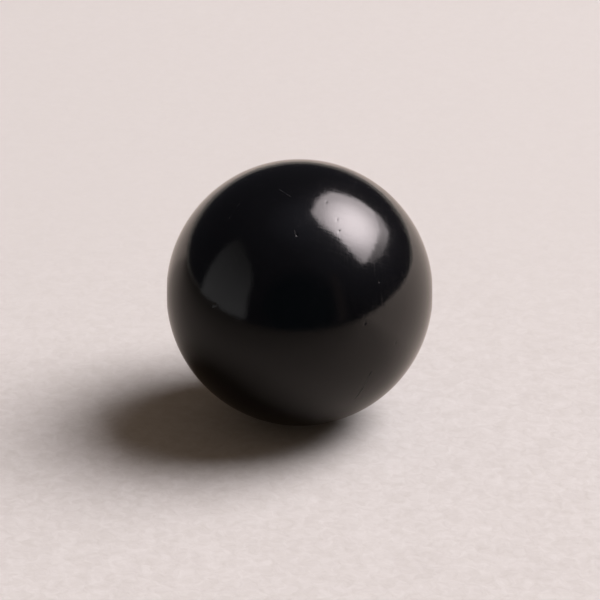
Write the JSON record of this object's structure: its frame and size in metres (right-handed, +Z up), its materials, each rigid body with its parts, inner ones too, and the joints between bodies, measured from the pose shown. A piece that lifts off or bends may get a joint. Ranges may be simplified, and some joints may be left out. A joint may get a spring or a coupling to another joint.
{
  "type": "stone bead",
  "caption": "Round polished black stone bead, drilled through its centre for stringing on cord or wire.",
  "frame": {"origin": "centre of the bead, halfway along its hole", "axes": "+X along the hole, +Z up with the hole lying level"},
  "size_m": [0.01, 0.01, 0.01],
  "materials": {
    "polished_black_stone": "polished"
  },
  "bodies": {
    "root": {"bead": "polished_black_stone"}
  },
  "joints": []
}
